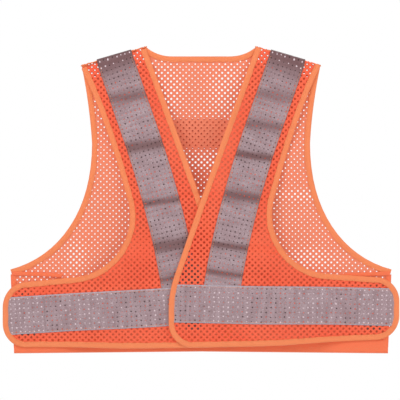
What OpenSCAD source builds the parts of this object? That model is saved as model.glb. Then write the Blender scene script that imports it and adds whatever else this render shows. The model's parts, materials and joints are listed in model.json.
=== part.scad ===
// High visibility vest: mesh cloth, bound edges, reflective tape, hook and loop fasteners.
// Millimetres. +Z up, the wearer faces -Y, the wearer's left is +X.
// The origin is midway between the two neck points, on the shoulder line that a hanger holds.

/* [Body] */
// Half width between the two neck points
neck_half = 88; // [80:1:95]
// Half width at the shoulder tips
shoulder_half = 191; // [185:1:198]
// Drop from neck point to shoulder tip
shoulder_drop = 30; // [24:1:36]
// Half width at the end of the front side tabs
tab_half = 317; // [314:1:320]
// Length from the neck points to the front hem
front_len = 478; // [474:1:484]
// Length from the neck points to the back hem
back_len = 490; // [486:1:496]
// How far each front passes the centre line
overlap_half = 51; // [40:1:55]
// How much lower the wearer's right side hangs at its tab
right_droop = 9; // [0:1:12]

/* [Drape] */
// How far the fronts stand forward of the back at the centre
front_bulge = 40; // [30:1:50]
// Distance from the fold over which the fronts curve forward
bulge_run = 150; // [130:1:155]

/* [Cloth] */
// Thickness of the mesh cloth
cloth_t = 1.2; // [0.8:0.1:1.6]
// Width of the folded edge binding
binding_w = 9; // [7:0.5:11]
// Height of the turned hem of the back
hem_band_w = 22; // [11:1:24]
// Thickness of one ply of the binding
binding_t = 0.6; // [0.4:0.1:0.8]
// Width of the reflective belt tape
tape_w = 60; // [50:1:62]
// Thickness of the reflective tape
tape_t = 0.6; // [0.4:0.1:0.8]
// Thickness of one hook or loop patch
patch_t = 1.2; // [0.8:0.1:1.6]

/* [Folds] */
// Where the fold between a front and its side meets the hem level
fold_hem_x = 240; // [236:1:244]
// Distance of the upright peel fold of each side tab from the centre
tab_fold_x = 262; // [260:1:266]
// Bare cloth left on each side of a fold
fold_gap = 3; // [2.5:0.5:5]

/* [Hidden] */

mesh_orange = [0.96, 0.36, 0.20];
binding_orange = [0.97, 0.53, 0.29];
tape_grey = [0.66, 0.60, 0.63];
patch_dark = [0.20, 0.10, 0.09];

LEFT = 1;
RIGHT = -1;
fit = 0.3;              // air between faces that only rest on each other
big = 1400;
curve_n = 10;           // chords in each curved stretch of an outline

// Depths of the layers, front face and back face, where the vest lies flat
back_y = 0.5;                                     // inner face of the back panel
front_y = back_y - 2 * patch_t - fit;             // inner face of the fronts outside the folds
fold_y = front_y - cloth_t / 2;                   // middle of the front cloth, where it folds
over_lift = 2 * patch_t + fit;                    // the left front clears the right by its patches
fold_angle = atan((fold_hem_x - neck_half) / front_len);

hem_rise = 10;          // the front hem is this much higher at the sides
tab_r = 38;             // rounded corners of the tabs and of the centre fronts
tab_top = 368;          // level of the top edge of a tab, measured down from the neck points
armhole_r = 95;
armhole_x = 208;
armhole_z = -268;
armhole_turn = 162;     // where the shoulder stretch meets the armhole arc
armhole_pull = [152, -112]; // bends that stretch towards the neck
back_waist_x = 174.5;    // narrowest half width of the back, between the armholes
back_waist_z = -155;
back_side_top = 356;
back_side_half = 305;
back_hem_half = 299;
back_neck_dip = 15;
back_hem_arch = 3;      // rise of the back hem at the centre
tuck = 1.5;             // how far the cloth stays inside the fold of its binding
belt_top = 379;         // top edge of the belt at the centre
belt_slope = 0.023;     // fall of the belt towards the sides
back_belt_top = 381;
right_belt_drop = 1.5;  // the belt on the right front sits this much lower at the centre
right_belt_fall = 3.5;  // and this much more at the end of its tab
shoulder_tape_w = 58;
seam_t = 1.6;           // height of the shoulder seams
yoke_gap = 1.6;         // the cloth stops this far below the shoulder line
side_patch = [24, 72];  // hook and loop patch of a side tab
neck_patch = [88, 50];  // second layer of mesh on the outside of the back, under the neck
neck_patch_top = 113;
side_patch_drop = 14;    // its top edge lies this far below the top edge of the tab
front_patch = [24, 104]; // hook and loop patch of the centre fronts
front_patch_top = 346;
yoke_bottom = 250;      // the yoke and the side part of a front are told apart between these levels
side_part_top = 300;
side_bind_ends = [0.085, 0.83]; // shares of the back's side edge where its binding starts and ends

function reverse(v) = [for (i = [len(v) - 1 : -1 : 0]) v[i]];
function mix(a, b, t) = a + (b - a) * t;
function bow(a, b, c, n = curve_n) =
    [for (i = [0 : n]) let (t = i / n) mix(mix(a, b, t), mix(b, c, t), t)];
function sweep4(a, b, c, d, n = curve_n) =
    [for (i = [0 : n]) let (t = i / n) mix(mix(mix(a, b, t), mix(b, c, t), t),
                                            mix(mix(b, c, t), mix(c, d, t), t), t)];
function arc(c, r, from, to, n = curve_n) =
    [for (i = [0 : n]) let (a = mix(from, to, i / n)) c + r * [cos(a), sin(a)]];
function unit(v) = v / norm(v);
// One path from several, without points that fall on the one before
function joined(p) = [for (i = [0 : len(p) - 1]) if (i == 0 || norm(p[i] - p[max(i - 1, 0)]) > 0.5) p[i]];
function tangent(p, i) = unit(p[min(i + 1, len(p) - 1)] - p[max(i - 1, 0)]);
// The path moved sideways by w, to the left of its direction when w is positive
function beside(p, w) =
    [for (i = [0 : len(p) - 1]) let (t = tangent(p, i)) p[i] + w * [-t.y, t.x]];
function band(p, w0, w1) = concat(beside(p, w0), reverse(beside(p, w1)));

// How one front hangs: its side sinks by droop at the tab, and by half as much again at the hem
function sag_at(z) = 1 + 0.5 * max(0, min(1, (-z - 380) / 90));
function hang(p, droop) =
    [for (q = p) [q.x, q.y - droop * sag_at(q.y) * max(0, min(1.1, (q.x - 20) / (tab_half - 20)))]];

neck_pt = [neck_half, 0];
tip_pt = [shoulder_half, -shoulder_drop];
hem_side_z = -front_len + hem_rise;

// Edges of a front, drawn for the left front, running down the centre front,
// along the hem, round the tab and back up the armhole
function neck_edge() = bow(neck_pt, [22, -178], [-overlap_half + 8, -368]);
function centre_edge() = concat(
    bow([-overlap_half + 8, -368], [-overlap_half, -392], [-overlap_half, -418], 5),
    arc([tab_r - overlap_half, tab_r - front_len], tab_r, 180, 270));
function hem_edge() = [[mix(0, tab_fold_x, 0.5), -front_len + 3], [tab_fold_x, hem_side_z - 0.6]];
function tab_edge() = concat(
    [[tab_fold_x, hem_side_z - 0.6]],
    arc([tab_half - tab_r, hem_side_z + tab_r], tab_r, -88, 0),
    arc([tab_half - tab_r, -tab_top - tab_r], tab_r, 0, 90));
function tab_top_edge() = [[tab_half - tab_r, -tab_top], [mix(armhole_x, tab_half - tab_r, 0.5), -tab_top + 2.5],
                           [armhole_x + 6, armhole_z - armhole_r - 0.4]];
function armhole_edge() = concat(
    arc([armhole_x, armhole_z], armhole_r, 268, armhole_turn, 14),
    bow([armhole_x + armhole_r * cos(armhole_turn), armhole_z + armhole_r * sin(armhole_turn)],
        armhole_pull, tip_pt, 6));
function opening_edge() = joined(concat(neck_edge(), centre_edge(), hem_edge()));
function arm_edge() = joined(concat(tab_top_edge(), armhole_edge()));
function front_edge(droop) = hang(joined(concat(opening_edge(), tab_edge(), arm_edge())), droop);

function back_armhole_edge() = joined(concat(
    bow(tip_pt, [back_waist_x + 3.5, -92], [back_waist_x, back_waist_z], 6),
    sweep4([back_waist_x, back_waist_z], [back_waist_x, -260], [225, -335],
           [back_side_half, -back_side_top])));
function back_side_edge() = [[back_side_half, -back_side_top], [back_hem_half, -back_len]];
function back_neck_edge() = concat([[0, -back_neck_dip]],
    bow([46, -back_neck_dip], [70, -back_neck_dip], neck_pt, 6));
function back_half() = joined(concat(back_neck_edge(), back_armhole_edge(), back_side_edge(),
                                     [[0, -back_len + back_hem_arch]]));
// Centre line of a shoulder tape, from the shoulder line to the belt
shoulder_run = concat([[144, -2]], bow([92, -152], [48, -284], [33, -384], 6));

module stand(y0, y1) translate([0, y1, 0]) rotate([90, 0, 0]) linear_extrude(y1 - y0) children();
module on_side(side) if (side == LEFT) children(); else mirror([1, 0, 0]) children();

// The flat part of the front plane on one side of the slanting fold
module inside_fold(gap = fold_gap)
    translate(neck_pt) rotate(fold_angle) translate([-big - gap, -big / 2]) square([big, big]);
module outside_fold(gap = fold_gap)
    translate(neck_pt) rotate(fold_angle) translate([gap, -big / 2]) square([big, big]);
module inside_tab_fold(gap = fold_gap)
    translate([-big + tab_fold_x - gap, -big / 2]) square([big, big]);
module outside_tab_fold(gap = fold_gap) translate([tab_fold_x + gap, -big / 2]) square([big, big]);
module below_shoulder(gap = yoke_gap)
    translate(tip_pt) rotate(-atan(shoulder_drop / (shoulder_half - neck_half)))
        translate([-big / 2, -big - gap]) square([big, big]);

// A layer of the curved front between two depths in front of its inner face
function swell(d, lift) = (front_bulge + lift) * (1 - cos(180 * min(1, max(0, d / bulge_run)))) / 2;
module curved_layer(y0, y1, lift)
    translate([neck_pt.x, 0, 0]) rotate([0, -fold_angle, 0])
        translate([0, 0, -big / 2]) linear_extrude(big)
            polygon(concat(
                [[20, y1], [20, y0]],
                [for (i = [0 : 20]) let (d = bulge_run * i / 20) [-d, y0 - swell(d, lift)]],
                [[-big / 2, y0 - front_bulge - lift], [-big / 2, y1 - front_bulge - lift]],
                [for (i = [20 : -1 : 0]) let (d = bulge_run * i / 20) [-d, y1 - swell(d, lift)]]));

function lift_of(side) = side == LEFT ? over_lift + cloth_t + tape_t : 0;
function droop_of(side) = side == LEFT ? 0 : right_droop;

// Cloth on a front that swings, between depths measured from its inner face
module swung(side, y0, y1) on_side(side) intersection() {
    stand(-front_bulge - 60, 20) intersection() { children(); inside_fold(); below_shoulder(); }
    curved_layer(front_y + y0, front_y + y1, lift_of(side));
}
module flat_front(side, y0, y1) on_side(side) stand(front_y + y0, front_y + y1) children();

module front_cloth(side) polygon(beside(front_edge(droop_of(side)), tuck));
module edge_band(side, path) polygon(band(hang(path, droop_of(side)), 0, binding_w));
function below_belt(x, side, z) = -z - belt_slope * x - droop_of(side) * x / tab_half * 1.1
    - (side == LEFT ? 0 : right_belt_drop + right_belt_fall * x / tab_half);
module belt_shape(side) polygon([
    for (x = [-overlap_half + 5, 140, tab_half - 5]) [x, below_belt(x, side, belt_top)],
    for (x = [tab_half - 5, 140, -overlap_half + 5]) [x, below_belt(x, side, belt_top + tape_w)]]);
module shoulder_tape_shape() polygon(band(shoulder_run, -shoulder_tape_w / 2, shoulder_tape_w / 2));

// Both plies of a binding, folded round the edge of the cloth
bind_y0 = -cloth_t - binding_t;
bind_y1 = binding_t;

// ---- back, which carries everything ----
function both_halves(half) = concat(reverse([for (q = half) [-q.x, q.y]]), half);
back_neck_whole = joined(both_halves(back_neck_edge()));
back_whole = concat(both_halves(joined([for (q = beside(back_half(), -tuck)) if (q.x > 1) q])),
                    [[0, -back_len + back_hem_arch + tuck]]);
module back_panel() color(mesh_orange) stand(back_y, back_y + cloth_t)
    intersection() { polygon(back_whole); below_shoulders(); }
module below_shoulders() intersection() { below_shoulder(); mirror([1, 0, 0]) below_shoulder(); }
module back_binding(path, width = binding_w) color(binding_orange) difference() {
    stand(back_y - binding_t, back_y + cloth_t + binding_t)
        intersection() { polygon(band(path, 0, -width)); below_shoulders(); }
    back_panel();
}
module back_neck_binding() back_binding(back_neck_whole);
module back_armhole_binding(side) on_side(side) back_binding(back_armhole_edge());
module back_side_binding(side) on_side(side) back_binding([
    for (t = side_bind_ends) mix(back_side_edge()[0], back_side_edge()[1], t)]);
module back_hem_binding() back_binding([
    [back_hem_half, -back_len], [0, -back_len + back_hem_arch], [-back_hem_half, -back_len]], hem_band_w);
module back_neck_patch() color(mesh_orange) stand(back_y + cloth_t, back_y + cloth_t + tape_t)
    translate([-neck_patch.x / 2, -neck_patch_top - neck_patch.y]) square(neck_patch);
back_belt_half = back_hem_half - binding_w - 1;
module back_belt_tape() color(tape_grey) stand(back_y + cloth_t, back_y + cloth_t + tape_t)
    polygon([for (d = [0, tape_w], x = [-1, 0, 1] * (d == 0 ? 1 : -1))
        [x * back_belt_half, below_belt(abs(x) * back_belt_half, LEFT, back_belt_top + d)]]);
module back_shoulder_tape(side) color(tape_grey) on_side(side)
    stand(back_y + cloth_t, back_y + cloth_t + tape_t) difference() {
        intersection() { shoulder_tape_shape(); below_shoulder(4); }
        translate([-big / 2, -back_belt_top - fit - big]) square([big, big]);
    }
module side_patch_shape(side)
    translate([tab_fold_x + fold_gap, -tab_top - side_patch_drop - side_patch.y - droop_of(side)]) square(side_patch);
module side_loop_patch(side) color(patch_dark) on_side(side) stand(back_y - patch_t, back_y)
        side_patch_shape(side);

// ---- shoulders: the seam tape that joins front to back ----
module shoulder_seam(side) color(binding_orange) on_side(side)
    stand(front_y - cloth_t - tape_t, back_y + cloth_t + tape_t)
        polygon(band([neck_pt, tip_pt], -seam_t / 2, seam_t / 2));

// ---- the parts of each front that stay with the back ----
module upper_half() translate([-big / 2, -yoke_bottom]) square([big, big]);
module yoke_outline() intersection() { children(); outside_fold(); below_shoulder(); upper_half(); }
module front_yoke(side) color(mesh_orange) flat_front(side, -cloth_t, 0) yoke_outline() front_cloth(side);
module yoke_binding(side) color(binding_orange) difference() {
    flat_front(side, bind_y0, bind_y1) yoke_outline() edge_band(side, armhole_edge());
    front_yoke(side);
}
module yoke_tape(side) color(tape_grey) flat_front(side, -cloth_t - tape_t, -cloth_t)
    difference() {
        yoke_outline() shoulder_tape_shape();
        edge_band(side, armhole_edge());
    }
module lower_half() translate([-big / 2, -side_part_top - big]) square([big, big]);
module side_outline() intersection() { children(); outside_fold(); inside_tab_fold(); lower_half(); }
module front_side(side) color(mesh_orange) flat_front(side, -cloth_t, 0) side_outline() front_cloth(side);
module side_binding(side) color(binding_orange) difference() {
    flat_front(side, bind_y0, bind_y1) side_outline() {
        edge_band(side, hem_edge());
        edge_band(side, arm_edge());
    }
    front_side(side);
}
module side_tape(side) color(tape_grey) flat_front(side, -cloth_t - tape_t, -cloth_t)
    side_outline() belt_shape(side);

// ---- the two fronts that swing open ----
module front_panel(side) color(mesh_orange) swung(side, -cloth_t, 0) front_cloth(side);
module front_edge_binding(side) color(binding_orange) difference() {
    swung(side, bind_y0, bind_y1) edge_band(side, opening_edge());
    front_panel(side);
}
module armhole_binding(side) color(binding_orange) difference() {
    swung(side, bind_y0, bind_y1) edge_band(side, arm_edge());
    front_panel(side);
}
module clear_of_binding(side) difference() {
    children();
    edge_band(side, opening_edge());
    edge_band(side, arm_edge());
}
module shoulder_tape(side) color(tape_grey) swung(side, -cloth_t - tape_t, -cloth_t)
    difference() {
        clear_of_binding(side) shoulder_tape_shape();
        belt_shape(side);
    }
module belt_tape(side) color(tape_grey) swung(side, -cloth_t - tape_t, -cloth_t)
    clear_of_binding(side) belt_shape(side);
module front_patch_shape() translate([-front_patch.x, -front_patch_top - front_patch.y]) square(front_patch);
module front_hook_patch() color(patch_dark) swung(LEFT, 0, patch_t) front_patch_shape();
module front_loop_patch() color(patch_dark) difference() {
    swung(RIGHT, -cloth_t - tape_t - patch_t, -cloth_t) mirror([1, 0, 0]) front_patch_shape();
    belt_tape(RIGHT);
    shoulder_tape(RIGHT);
}

// ---- the side tabs that peel off the back ----
module tab_outline() intersection() { children(); outside_tab_fold(); }
module side_tab(side) color(mesh_orange) flat_front(side, -cloth_t, 0) tab_outline() front_cloth(side);
module tab_binding(side) color(binding_orange) difference() {
    flat_front(side, bind_y0, bind_y1) tab_outline() edge_band(side, tab_edge());
    side_tab(side);
}
module tab_tape(side) color(tape_grey) flat_front(side, -cloth_t - tape_t, -cloth_t)
    difference() { tab_outline() belt_shape(side); edge_band(side, tab_edge()); }
module side_hook_patch(side) color(patch_dark) flat_front(side, 0, patch_t) side_patch_shape(side);

back_panel();
back_neck_binding();
back_armhole_binding(LEFT);  // left_back_armhole_binding
back_armhole_binding(RIGHT);  // right_back_armhole_binding
back_side_binding(LEFT);  // left_back_side_binding
back_side_binding(RIGHT);  // right_back_side_binding
back_hem_binding();
back_neck_patch();
back_belt_tape();
back_shoulder_tape(LEFT);  // left_back_shoulder_tape
back_shoulder_tape(RIGHT);  // right_back_shoulder_tape
side_loop_patch(LEFT);  // left_side_loop_patch
side_loop_patch(RIGHT);  // right_side_loop_patch
shoulder_seam(LEFT);  // left_shoulder_seam
shoulder_seam(RIGHT);  // right_shoulder_seam
front_yoke(LEFT);  // left_front_yoke
front_yoke(RIGHT);  // right_front_yoke
yoke_binding(LEFT);  // left_yoke_binding
yoke_binding(RIGHT);  // right_yoke_binding
yoke_tape(LEFT);  // left_yoke_tape
yoke_tape(RIGHT);  // right_yoke_tape
front_side(LEFT);  // left_front_side
front_side(RIGHT);  // right_front_side
side_binding(LEFT);  // left_side_binding
side_binding(RIGHT);  // right_side_binding
side_tape(LEFT);  // left_side_tape
side_tape(RIGHT);  // right_side_tape
front_panel(LEFT);  // left_front_panel
front_panel(RIGHT);  // right_front_panel
front_edge_binding(LEFT);  // left_front_edge_binding
front_edge_binding(RIGHT);  // right_front_edge_binding
armhole_binding(LEFT);  // left_armhole_binding
armhole_binding(RIGHT);  // right_armhole_binding
shoulder_tape(LEFT);  // left_shoulder_tape
shoulder_tape(RIGHT);  // right_shoulder_tape
belt_tape(LEFT);  // left_belt_tape
belt_tape(RIGHT);  // right_belt_tape
front_hook_patch();
front_loop_patch();
side_tab(LEFT);  // left_side_tab
side_tab(RIGHT);  // right_side_tab
tab_binding(LEFT);  // left_tab_binding
tab_binding(RIGHT);  // right_tab_binding
tab_tape(LEFT);  // left_tab_tape
tab_tape(RIGHT);  // right_tab_tape
side_hook_patch(LEFT);  // left_side_hook_patch
side_hook_patch(RIGHT);  // right_side_hook_patch
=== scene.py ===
import json
import math

import bpy
import numpy as np
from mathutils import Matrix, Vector

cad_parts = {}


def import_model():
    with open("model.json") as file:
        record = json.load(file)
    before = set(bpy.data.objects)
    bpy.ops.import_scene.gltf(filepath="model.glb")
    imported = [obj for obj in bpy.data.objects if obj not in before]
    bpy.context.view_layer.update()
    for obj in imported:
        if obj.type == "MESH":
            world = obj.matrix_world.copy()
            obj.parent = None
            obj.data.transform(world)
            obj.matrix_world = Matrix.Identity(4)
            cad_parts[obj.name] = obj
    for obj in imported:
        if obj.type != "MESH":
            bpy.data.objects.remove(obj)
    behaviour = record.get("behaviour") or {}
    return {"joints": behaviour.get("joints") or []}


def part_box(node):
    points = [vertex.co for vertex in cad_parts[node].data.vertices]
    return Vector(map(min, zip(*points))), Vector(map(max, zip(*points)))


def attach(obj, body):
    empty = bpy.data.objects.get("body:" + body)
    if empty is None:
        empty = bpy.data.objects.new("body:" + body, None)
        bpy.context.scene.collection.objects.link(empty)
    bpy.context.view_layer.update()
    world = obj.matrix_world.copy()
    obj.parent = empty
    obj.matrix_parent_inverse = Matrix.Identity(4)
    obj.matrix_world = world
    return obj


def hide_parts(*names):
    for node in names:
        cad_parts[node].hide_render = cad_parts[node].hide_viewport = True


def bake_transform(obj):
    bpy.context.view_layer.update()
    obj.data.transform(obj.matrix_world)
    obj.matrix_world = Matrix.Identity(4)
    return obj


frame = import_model()

bl_info = {
    "name": "Mesh Safety Vest",
    "version": (1, 0, 0),
    "blender": (4, 5, 0),
    "location": "View3D > Sidebar > Vest",
    "description": "Knitted mesh, bound edges, perforated tape and fasteners of a safety vest",
    "category": "Add Mesh",
}

# All lengths below are in millimetres and become metres when a mesh is made.
MM = 0.001
LEFT, RIGHT = 1, -1
SIDE_NAME = {LEFT: "left", RIGHT: "right"}


# ---------------------------------------------------------------- the frame
def node_box(node):
    """Lowest and highest corners of a CAD node, in millimetres."""
    low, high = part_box(node)
    return np.array(low) / MM, np.array(high) / MM


def joint(name):
    return next(j for j in frame["joints"] if j["name"] == name)


# The CAD's own numbers, read back from where its nodes and joints are
SWING, PEEL = joint("left_front_swing"), joint("left_tab_peel")
NECK_HALF, FOLD_Y = SWING["pos_m"][0] / MM, SWING["pos_m"][1] / MM
FOLD_SIN, FOLD_COS = -SWING["axis"][0], SWING["axis"][2]
TAB_FOLD_X = PEEL["pos_m"][0] / MM
SEAM_LOW, SEAM_HIGH = node_box("left_shoulder_seam")
SEAM_PAST_TIP, SEAM_UNDER = 0.2, 0.8       # how far the seam's box passes the shoulder tip
SHOULDER_HALF, SHOULDER_DROP = SEAM_HIGH[0] - SEAM_PAST_TIP, -SEAM_LOW[2] - SEAM_UNDER
TAB_LOW, TAB_HIGH = node_box("left_tab_binding")
TAB_HALF, TAB_TOP, HEM_SIDE = TAB_HIGH[0], -TAB_HIGH[2], TAB_LOW[2]
EDGE_LOW = node_box("left_front_edge_binding")[0]
LAP, FRONT_LEN = -EDGE_LOW[0], -EDGE_LOW[2]
CLOTH_T = np.ptp([c[1] for c in node_box("left_side_tab")])
PANEL_FRONT = {side: node_box(SIDE_NAME[side] + "_front_panel")[0][1] for side in (LEFT, RIGHT)}
SWELL = {side: FOLD_Y - CLOTH_T / 2 - PANEL_FRONT[side] for side in (LEFT, RIGHT)}
BACK_LOW, BACK_HIGH = node_box("back_panel")
BACK_Y = (BACK_LOW[1] + BACK_HIGH[1]) / 2
HEM_LOW, HEM_HIGH = node_box("back_hem_binding")
BACK_LEN, BACK_HEM_HALF = -HEM_LOW[2], HEM_HIGH[0]
BELT_HIGH = node_box("back_belt_tape")[1]
BINDING_W = 9.0
ARM_LOW, ARM_HIGH = node_box("left_back_armhole_binding")
BACK_SIDE, BACK_WAIST = ARM_HIGH[0], ARM_LOW[0] + BINDING_W
ARMHOLE_R, ARMHOLE_Z = 95.0, -268.0
ARMHOLE_X = node_box("left_armhole_binding")[0][0] + BINDING_W + ARMHOLE_R

# Sizes that the boxes don't show
BACK_SIDE_TOP = 356.0
HEM_BAND_W = 22.0                  # the back hem is turned up wider than the bindings
HEM_ARCH = 3.0                     # and rises by this much at the centre
ARMHOLE_PULL = [152, -112]         # bends the shoulder stretch of a front's armhole towards the neck
BELT_TOP, BELT_SLOPE, TAPE_W = 379.0, 0.023, 60.0
RIGHT_BELT_DROP, RIGHT_BELT_FALL = 1.5, 3.5    # the right belt is lower, and more so at its tab
SHOULDER_TAPE_W = 58.0
BULGE_RUN = 150.0                  # distance from the fold over which the fronts curve forward
TAB_R = 38.0                       # rounded corners of the tabs and the centre fronts
HANG_FROM = 20.0                   # a front hangs lower from here to its tab
DROOP = {LEFT: 0.0, RIGHT: (TAB_HIGH[2] - node_box("right_tab_binding")[1][2])
         * (TAB_HALF - HANG_FROM) / (TAB_HALF - TAB_R - HANG_FROM)}
HEM_SAG, SAG_FROM, SAG_RUN = 0.5, 380, 90      # the hem hangs lower still, from this level down
SPLIT_X = 250.0                    # the cloth of a front is divided here, between its two folds
FOLD_OUT, FOLD_IN = 7.0, 14.0      # reach of the soft bend on each side of the slanting fold
TAB_BEND = 9.0                     # and on each side of a tab's fold
PINHOLE_WANDER, PINHOLE_LIP = 0.55, 0.28       # how far a pinhole may be off its grid, and its rim
VIEWING_DISTANCE = 3556.0
NECK = np.array([NECK_HALF, 0.0])
TIP = np.array([SHOULDER_HALF, -SHOULDER_DROP])
MIDDLE = np.array([0.0, -BACK_LEN / 2])
SHOULDER_SLOPE = (TIP - NECK)[1] / (TIP - NECK)[0]
BETWEEN_LAYERS = (FOLD_Y + BACK_Y) / 2
TURN_OVER, TURN_HEIGHT = 2.8, 2.4  # cloth cut above the shoulder line, and where it meets the other layer


# ---------------------------------------------------------------- outlines
def mix(a, b, t):
    return np.asarray(a, float) * (1 - t) + np.asarray(b, float) * t


def bow(a, b, c, n=12):
    return [mix(mix(a, b, t), mix(b, c, t), t) for t in np.linspace(0, 1, n + 1)]


def sweep4(a, b, c, d):
    return [mix(mix(mix(a, b, t), mix(b, c, t), t), mix(mix(b, c, t), mix(c, d, t), t), t)
            for t in np.linspace(0, 1, 17)]


def arc(centre, r, start, end, n=12):
    turn = np.radians(np.linspace(start, end, n + 1))
    return [np.array(centre) + r * np.array([math.cos(a), math.sin(a)]) for a in turn]


def joined(*paths):
    """One path from several, without points that fall on the one before."""
    kept = []
    for p in [q for path in paths for q in path]:
        if not kept or np.linalg.norm(p - kept[-1]) > 0.5:
            kept.append(np.asarray(p, float))
    return np.array(kept)


def hang(path, side):
    """The wearer's right side hangs a little lower towards its tab, and more so at its hem."""
    out = np.array(path, float)
    sag = 1 + HEM_SAG * np.clip((-out[:, 1] - SAG_FROM) / SAG_RUN, 0, 1)
    towards_tab = np.clip((out[:, 0] - HANG_FROM) / (TAB_HALF - HANG_FROM), 0, 1.1)
    out[:, 1] -= DROOP[side] * sag * towards_tab
    return out


def resample(path, step):
    length = np.concatenate([[0], np.cumsum(np.linalg.norm(np.diff(path, axis=0), axis=1))])
    count = max(2, int(round(length[-1] / step)))
    at = np.linspace(0, length[-1], count + 1)
    return np.stack([np.interp(at, length, path[:, k]) for k in range(path.shape[1])], 1), at


def inward(path):
    """Unit normals to the left of a path, smoothed over its corners."""
    tangent = np.gradient(path, axis=0)
    tangent /= np.linalg.norm(tangent, axis=1)[:, None]
    normal = np.stack([-tangent[:, 1], tangent[:, 0]], 1)
    for _ in range(2):
        normal[1:-1] = (normal[:-2] + 2 * normal[1:-1] + normal[2:]) / 4
    return normal / np.linalg.norm(normal, axis=1)[:, None]


def neck_edge():
    return bow(NECK, [22, -178], [8 - LAP, -368])


def centre_edge():
    return bow([8 - LAP, -368], [-LAP, -392], [-LAP, -418], 6) \
        + arc([TAB_R - LAP, TAB_R - FRONT_LEN], TAB_R, 180, 270)


def hem_edge():
    return [np.array([TAB_FOLD_X / 2, 3 - FRONT_LEN]), np.array([TAB_FOLD_X, HEM_SIDE - 0.6])]


def tab_edge():
    return arc([TAB_HALF - TAB_R, HEM_SIDE + TAB_R], TAB_R, -90, 0) \
        + arc([TAB_HALF - TAB_R, -TAB_TOP - TAB_R], TAB_R, 0, 90)


def arm_edge():
    top = [np.array([TAB_HALF - TAB_R, -TAB_TOP]),
           np.array([(ARMHOLE_X + TAB_HALF - TAB_R) / 2, 2.5 - TAB_TOP]),
           np.array([ARMHOLE_X + 6, ARMHOLE_Z - ARMHOLE_R - 0.4])]
    turn = arc([ARMHOLE_X, ARMHOLE_Z], ARMHOLE_R, 268, 162, 20)
    return top + turn + bow(turn[-1], ARMHOLE_PULL, TIP, 8)


def front_outline(side):
    turned = np.array([TIP, NECK]) + [0, TURN_OVER]
    return hang(joined(neck_edge(), centre_edge(), hem_edge(), tab_edge(), arm_edge(), turned), side)


def back_neck_half():
    return joined([[0, -15]], bow([46, -15], [70, -15], NECK, 8))


def back_arm_edge():
    waist = [BACK_WAIST, -155]
    return joined(bow(TIP, [BACK_WAIST + 3.5, -92], waist, 8),
                  sweep4(waist, [BACK_WAIST, -260], [225, -335], [BACK_SIDE, -BACK_SIDE_TOP]))


def back_side_edge():
    return np.array([[BACK_SIDE, -BACK_SIDE_TOP], [BACK_HEM_HALF, -BACK_LEN]])


def back_hem_edge():
    return np.array([[BACK_HEM_HALF, -BACK_LEN], [0, HEM_ARCH - BACK_LEN], [-BACK_HEM_HALF, -BACK_LEN]])


def mirrored(path):
    return np.asarray(path) * [-1, 1]


def back_outline():
    turned = np.array([NECK, TIP]) + [0, TURN_OVER]
    half = joined(back_neck_half()[1:], turned, back_arm_edge(), back_side_edge())
    return np.concatenate([mirrored(half)[::-1], half, [[0, HEM_ARCH - BACK_LEN]]])


# ---------------------------------------------------------------- how the cloth lies
def smooth(t):
    t = np.clip(t, 0, 1)
    return t * t * (3 - 2 * t)


def waves(x, z, seed):
    """Slow unevenness of hand-laid cloth, from -1 to 1."""
    a = np.sin(x / 37 + seed) * np.cos(z / 46 - 1.7 * seed)
    b = np.sin((x + 0.6 * z) / 23 + 2.1 * seed) * np.cos((z - 0.4 * x) / 31 + seed)
    return 0.62 * a + 0.38 * b


def above_shoulder(x, z):
    """Height over the shoulder line, which falls from the neck point to the shoulder tip."""
    return z - SHOULDER_SLOPE * (np.abs(x) - NECK_HALF)


def turned_in(y, x, z):
    """Cloth above the shoulder line turns in over the seam, towards the other layer."""
    return y + smooth(above_shoulder(x, z) / TURN_HEIGHT) * (BETWEEN_LAYERS - y)


def fold_distance(x, z):
    """How far a point of a front is inside its slanting fold; x runs to the side."""
    return (NECK_HALF - x) * FOLD_COS - z * FOLD_SIN


# Creases pressed across each front: level at x = 60, half width, depth
CREASES = {
    LEFT: [(-70, 15, 1.0), (-120, 12, 1.3), (-171, 8, 2.1), (-238, 13, 1.6), (-320, 6, 2.3),
           (-364, 6, 1.9)],
    RIGHT: [(-72, 13, 1.4), (-154, 12, 1.9), (-247, 6, 2.4), (-318, 13, 2.0), (-371, 7, 1.7)],
}
CREASE_TILT, DEEPEST_CREASE = -0.14, 2.4


def across_crease(x, z, level, width):
    """Distance from the middle of a crease, in its half widths."""
    return (z - level - CREASE_TILT * (x - 60)) / width


def front_surface(side):
    def surface(x, z):
        """Depth of the middle of a front at side distance x and height z."""
        inside = fold_distance(x, z)
        rise = (1 - np.cos(np.pi * np.clip(inside / BULGE_RUN, 0, 1))) / 2
        y = FOLD_Y - SWELL[side] * rise
        uneven = -0.9 * waves(x, z, 0.7 if side == LEFT else 2.3)
        for level, width, depth in CREASES[side]:
            t = across_crease(x, z, level, width)
            uneven = uneven + depth * (t + 0.35) * np.exp(0.5 - t * t)
        lap = smooth((LAP + 18 - x) / 24)
        kept_apart = np.maximum(uneven, 0) if side == LEFT else np.minimum(uneven, 0)
        return turned_in(y + smooth((inside - 4) / 45) * (uneven - lap * kept_apart), x, z)
    return surface


def pressed(side):
    """How strongly a front is creased at a point, from 0 to 1."""
    def mask(x, z):
        found = np.zeros_like(x)
        for level, width, depth in CREASES[side]:
            t = across_crease(x, z, level, 0.75 * width)
            found = np.maximum(found, depth / DEEPEST_CREASE * np.exp(-t * t))
        return found
    return mask


def back_surface(x, z):
    """Depth of the middle of the back, which is uneven in its middle and lies flat at its edges."""
    middle = smooth((BACK_HEM_HALF - 26 - np.abs(x)) / 70) * smooth((-z - 22) / 60)
    middle = middle * smooth((BACK_LEN - 8 + z) / 40)
    uneven = 2.6 + 2.2 * waves(x, z, 1.1) + 0.9 * np.sin(z / 17 + x / 60)
    return turned_in(BACK_Y + middle * uneven, x, z)


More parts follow.
